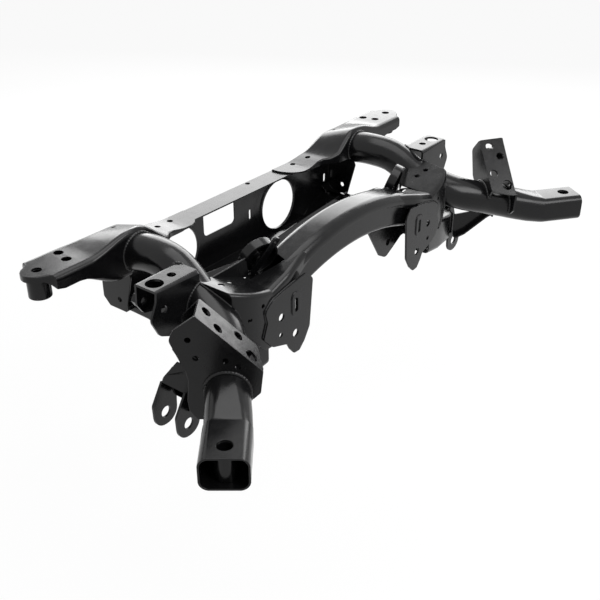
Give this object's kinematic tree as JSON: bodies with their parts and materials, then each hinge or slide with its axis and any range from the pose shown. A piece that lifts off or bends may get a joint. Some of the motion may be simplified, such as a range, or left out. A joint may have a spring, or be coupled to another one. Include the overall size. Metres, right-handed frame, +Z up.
{
  "type": "rear suspension subframe",
  "caption": "Welded rear suspension subframe: bent tubes, a pressed arch, an open crossmember and mounting arms carry brackets for suspension links and bolt under a car body.",
  "frame": {"origin": "midway between the two arm end mounting holes, on the arms' top face", "axes": "+X across the vehicle to its left side, +Y towards the open crossmember and the arms, +Z up"},
  "size_m": [1.127, 0.4976, 0.2585],
  "materials": {
    "coat": "satin black dip coat",
    "plate_coat": "satin black dip coat"
  },
  "bodies": {
    "root": {"rear_crossmember": "coat", "arch_upper_shell": "coat", "arch_lower_shell": "coat", "left_arm_upper": "coat", "right_arm_upper": "coat", "left_arm_lower": "coat", "right_arm_lower": "coat", "left_mount_sleeve": "coat", "right_mount_sleeve": "coat", "left_side_tube": "coat", "right_side_tube": "coat", "left_crush_sleeve": "coat", "right_crush_sleeve": "coat", "left_saddle_plate": "plate_coat", "right_saddle_plate": "plate_coat", "left_link_plate_front": "plate_coat", "right_link_plate_front": "plate_coat", "left_link_plate_rear": "plate_coat", "right_link_plate_rear": "plate_coat", "left_upper_link_bracket": "plate_coat", "right_upper_link_bracket": "plate_coat", "left_stay_bracket": "plate_coat", "right_stay_bracket": "plate_coat", "left_lower_brace": "coat", "right_lower_brace": "coat", "left_brace_strut": "coat", "right_brace_strut": "coat", "left_lower_clevis": "plate_coat", "right_lower_clevis": "plate_coat", "left_bush_ring": "coat", "right_bush_ring": "coat", "left_bush_stopper": "plate_coat", "right_bush_stopper": "plate_coat", "weld_nuts": "coat"}
  },
  "joints": []
}
